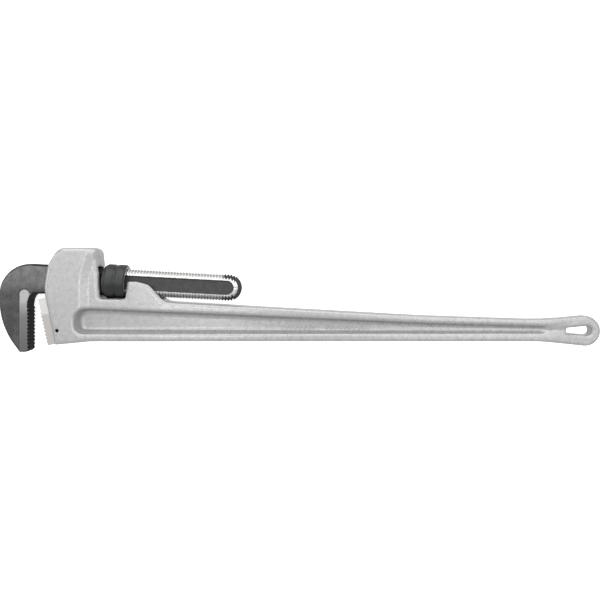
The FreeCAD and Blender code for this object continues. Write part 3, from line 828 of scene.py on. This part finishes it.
def ground_zones(s, along, across, height):
    """Masks of the ground flats, the milled strip and everything bright on the hook jaw."""
    side = s.math("ABSOLUTE", height)
    off_axis = s.math("ABSOLUTE", across)
    wobble = s.math("SUBTRACT", s.noise(9, detail=3), 0.5)
    on_bar = s.between(s.math("ADD", along, s.math("MULTIPLY", wobble, 12.0)), *GROUND_ALONG)
    flat = s.math("MULTIPLY", s.between(side, *FLAT_HEIGHT), on_bar)

    before_tail = s.between(s.math("ADD", along, s.math("MULTIPLY", wobble, 16.0)), *TAIL_ALONG)
    thread = s.math("MULTIPLY", s.between(off_axis, *THREAD_ACROSS), before_tail)
    thread = s.math("MULTIPLY", thread, on_bar)
    across_squared = s.math("MULTIPLY", across, across)
    radius = s.math("SQRT", s.math("ADD", across_squared, s.math("MULTIPLY", height, height)))
    # Painted shade in the grooves of the thread's outer part: there the bright steel gives way to the
    # black skin.
    groove_shade = s.math("MULTIPLY", s.between(radius, *GROOVE_R), s.between(off_axis, *THREAD_OUTER))
    thread = s.math("MULTIPLY", thread, s.scale(groove_shade, 1.0, 0.2))

    off_strip = s.math("ABSOLUTE", s.math("SUBTRACT", side, JAW_HALF - MILLED_DEPTH))
    milled = s.math("MULTIPLY", s.between(off_strip, 0.12, 0.05), s.between(along, *HOOK_ALONG))
    bright = s.math("MAXIMUM", s.math("MAXIMUM", flat, milled), thread)
    return flat, milled, bright


def forging_scale(s, along, face, mottle, pits):
    """The black skin: lighter high on the hook as painted light, darker on the bar, and painted shade,
    near-black, on all that faces sideways.
    """
    # Painted light: the scale is lighter high on the hook, as if lit from above.
    upper = s.between(s.split(s.place)[1], 0.050, 0.074)
    low_scale = s.mix(s.between(mottle, 0.3, 0.7), grey(0.060, 0.01), grey(0.100, -0.01))
    lit_scale = s.mix(s.between(mottle, 0.3, 0.7), grey(0.110, 0.01), grey(0.175, -0.01))
    scale = s.mix(upper, low_scale, lit_scale)
    scale = s.mix(s.between(along, *SCALE_ALONG), scale, s.mix(mottle, grey(0.036), grey(0.078)))
    scale = s.mix(s.math("MULTIPLY", s.convex_edges(), 0.3), scale, grey(0.24))
    # Painted shade: faces that look sideways take a near-black, a little less dark on the bar.
    side_shade = s.mix(s.between(along, *SIDE_SHADE_ALONG), s.mix(pits, grey(0.012), grey(0.024)), grey(0.05))
    return s.mix(face, side_shade, scale)


def bright_steel(s, across, flat, milled, streaks, pits):
    """Ground steel, darker on the flats' lower half as painted shade, and the milled strip, darker
    downwards as painted shade.
    """
    # Painted shade: the ground flats' lower half is darker than their upper half.
    lower = s.between(across, 4.0, -4.0)
    steel = s.mix(streaks, grey(0.66, 0.01), grey(0.80, 0.01))
    shaded_steel = s.mix(streaks, grey(0.33, 0.01), grey(0.42, 0.01))
    steel = s.mix(s.math("MULTIPLY", lower, flat), steel, shaded_steel)
    strip_y = s.split(s.place)[1]
    # Painted shade: the milled strip darkens downwards; its top end is lighter and pitted.
    strip = s.mix(s.between(strip_y, 0.034, 0.006), grey(0.30, 0.01), grey(0.175))
    strip = s.mix(s.between(strip_y, 0.006, -0.050), strip, grey(0.14, -0.01))
    strip = s.mix(s.between(strip_y, 0.033, 0.037), strip, s.mix(pits, grey(0.27), grey(0.50)))
    return s.mix(milled, steel, strip)


def forged_and_ground():
    """The hook jaw: black forging scale, with bright ground flats and machined thread."""
    s = Shader("black_forged_steel")
    along, across, height = s.shank_place()
    flat, milled, bright = ground_zones(s, along, across, height)
    mottle = s.noise(11, detail=5, roughness=0.62)
    pits = s.noise(2.2, detail=3)
    streaks = s.noise(1.2, detail=3, stretch=(0.05, 1.0, 1.0))
    normal_z = s.math("ABSOLUTE", s.split(s.object_normal)[2])
    nut_front, nut_back = NUT_SHADE_ALONG
    # Painted shade: in and beside the nut, where the bar lies in the head, its faces take the near-black
    # side colour, and are rougher and less metallic.
    nut_shade = s.math("MULTIPLY", s.between(along, *nut_front), s.between(along, *nut_back))
    face = s.math("MULTIPLY", s.between(normal_z, 0.84, 0.998), s.math("SUBTRACT", 1.0, nut_shade))
    black = forging_scale(s, along, face, mottle, pits)
    colour = s.mix(bright, black, bright_steel(s, across, flat, milled, streaks, pits))
    smooth = s.math("MAXIMUM", bright, s.math("MULTIPLY", face, 0.8))
    roughness = s.scale(smooth, 0.80, 0.32)
    roughness = s.math("ADD", roughness, s.scale(pits, -0.08, 0.10))
    metallic = s.math("MAXIMUM", bright, s.math("MULTIPLY", face, 0.85))
    rough_height = s.math("MULTIPLY", s.math("SUBTRACT", 1.0, bright), s.math("ADD", pits, mottle))
    normal = s.bump(rough_height, 0.22)
    normal = s.bump(s.math("MULTIPLY", streaks, bright), 0.02, under=normal)
    return s.finish(colour, roughness, metallic, normal, Specular_IOR_Level=0.15)


def black_nut_steel():
    """The nut: blackened steel, worn bright on the knurl's crests, with a bare rear face."""
    s = Shader("black_nut_steel")
    mottle = s.noise(5, detail=4)
    fine = s.noise(0.9, detail=3)
    colour = s.mix(mottle, grey(0.030, -0.02), grey(0.055, -0.02))
    colour = s.mix(s.math("MULTIPLY", s.convex_edges(0.54, 0.62), 0.4), colour, grey(0.16))
    faced = s.between(s.shank_place()[0], NUT_HALF - 0.7, NUT_HALF - 0.1)
    colour = s.mix(faced, colour, s.mix(fine, grey(0.18), grey(0.30)))
    roughness = s.scale(fine, 0.18, 0.32)
    return s.finish(colour, roughness, 0.8, s.bump(fine, 0.03))


HEEL_TEETH_Y = (0.0175, 0.0135)      # the heel jaw is used and browner below this


def ground_steel():
    """The heel jaw: light ground steel with a faint straw tint and fine grinding marks."""
    s = Shader("ground_steel")
    marks = s.noise(0.9, detail=4, stretch=(1.0, 0.08, 1.0))
    mottle = s.noise(9, detail=4)
    toothed = s.between(s.split(s.place)[1], *HEEL_TEETH_Y)
    plain = s.mix(marks, grey(0.52, 0.01), grey(0.64, 0.01))
    used = s.mix(marks, grey(0.35, 0.03), grey(0.46, 0.03))
    colour = s.mix(toothed, plain, used)
    colour = s.mix(s.math("MULTIPLY", mottle, 0.3), colour, grey(0.40, 0.05))
    roughness = s.scale(marks, 0.34, 0.52)
    return s.finish(colour, roughness, 0.85, s.bump(marks, 0.03))


def spring_steel(name, dark, light):
    """Springs and pins: drawn steel with fine marks and a faint uneven tint."""
    s = Shader(name)
    marks = s.noise(0.8, detail=3)
    tint = s.noise(6, detail=3)
    colour = s.mix(tint, grey(dark), grey(light, 0.03))
    return s.finish(colour, s.scale(marks, 0.28, 0.44), 1.0, s.bump(marks, 0.02))


def paper_floor():
    """The pale sweep that the wrench lies on."""
    s = Shader("pale_floor")
    tone = s.noise(300, detail=2)
    glow = {"Emission_Color": (1, 1, 1, 1), "Emission_Strength": 0.68}
    return s.finish(s.mix(tone, grey(0.86), grey(0.89)), 0.8, 0.0, **glow)


def give(piece, material):
    """Every slot of a piece, or of a CAD node, takes the material."""
    if not piece.data.materials:
        piece.data.materials.append(material)
    for slot in piece.material_slots:
        slot.material = material


# ---------------------------------------------------------------- stage, camera and light

VIEW_WIDTH = 1080.0       # the frame's width at the wrench's mid-plane
VIEW_DISTANCE = 1172.0    # from the lens to that plane
VIEW_CENTRE = (470.7, 113.4)
VIEW_SHIFT_Y = -0.06833   # the lens looks past the frame's middle by this share of it
SENSOR_WIDTH = 36.0

FLOOR_GAP = 0.0003        # the floor lies this far under the wrench
FLOOR_HALF = 12.0

# Soft rectangular lights: name, place, the point each aims at, size and power.
LIGHTS = (
    ("overhead_left", (-0.72, 0.65, 2.60), (-0.72, 0.65, 0.0), (2.0, 1.6), 8.5),
    ("overhead_right", (1.66, 0.45, 2.60), (1.66, 0.45, 0.0), (1.6, 1.6), 12.0),
    ("over_head", (0.06, 0.10, 1.90), (0.10, 0.05, 0.0), (0.30, 0.30), 2.0),
    ("upper_side", (0.45, 1.95, 1.05), (0.45, 0.0, 0.0), (3.4, 2.6), 42.0),
    ("left_side", (-1.70, 0.45, 0.90), (0.0, 0.05, 0.0), (1.2, 1.0), 7.0),
)
SKY_STRENGTH = 0.85


def camera():
    data = bpy.data.cameras.new("camera")
    data.sensor_width = SENSOR_WIDTH
    data.lens = SENSOR_WIDTH * VIEW_DISTANCE / VIEW_WIDTH
    data.shift_y = VIEW_SHIFT_Y
    data.clip_start, data.clip_end = 0.01, 50
    piece = bpy.data.objects.new("camera", data)
    piece.location = (VIEW_CENTRE[0] * MM, VIEW_CENTRE[1] * MM, VIEW_DISTANCE * MM)
    bpy.context.scene.collection.objects.link(piece)
    bpy.context.scene.camera = piece


def floor():
    low = cad_box[0].z - FLOOR_GAP
    mesh = bpy.data.meshes.new("floor")
    corners = [(x * FLOOR_HALF, y * FLOOR_HALF, low) for x, y in ((-1, -1), (1, -1), (1, 1), (-1, 1))]
    mesh.from_pydata(corners, [], [(0, 1, 2, 3)])
    piece = bpy.data.objects.new("floor", mesh)
    piece.visible_glossy = False
    piece.visible_diffuse = False
    bpy.context.scene.collection.objects.link(piece)
    give(piece, paper_floor())


def soft_light(name, place, aim, size, power):
    data = bpy.data.lights.new(name, "AREA")
    data.shape = "RECTANGLE"
    data.size, data.size_y = size
    data.energy = power
    piece = bpy.data.objects.new(name, data)
    piece.location = place
    piece.rotation_mode = "QUATERNION"
    piece.rotation_quaternion = (Vector(aim) - Vector(place)).to_track_quat("-Z", "Y")
    bpy.context.scene.collection.objects.link(piece)


def light():
    for values in LIGHTS:
        soft_light(*values)
    world = bpy.data.worlds.new("studio")
    world.use_nodes = True
    sky = world.node_tree.nodes["Background"]
    sky.inputs["Color"].default_value = (1, 1, 1, 1)
    sky.inputs["Strength"].default_value = SKY_STRENGTH
    bpy.context.scene.world = world
    bpy.context.scene.view_settings.view_transform = "Standard"


camera()
floor()
light()

casting_material = cast_aluminium()
give(casting(), casting_material)
give(raised_bars(), casting_material)
give(adjusting_nut(), black_nut_steel())
give(hook(), forged_and_ground())
give(NODES["heel_jaw"], ground_steel())
give(NODES["heel_jaw_pin"], spring_steel("black_oxide_steel", 0.010, 0.025))
for hidden_steel in ("flat_spring", "coil_spring", "spring_pin"):
    give(NODES[hidden_steel], spring_steel("spring_steel_" + hidden_steel, 0.20, 0.34))
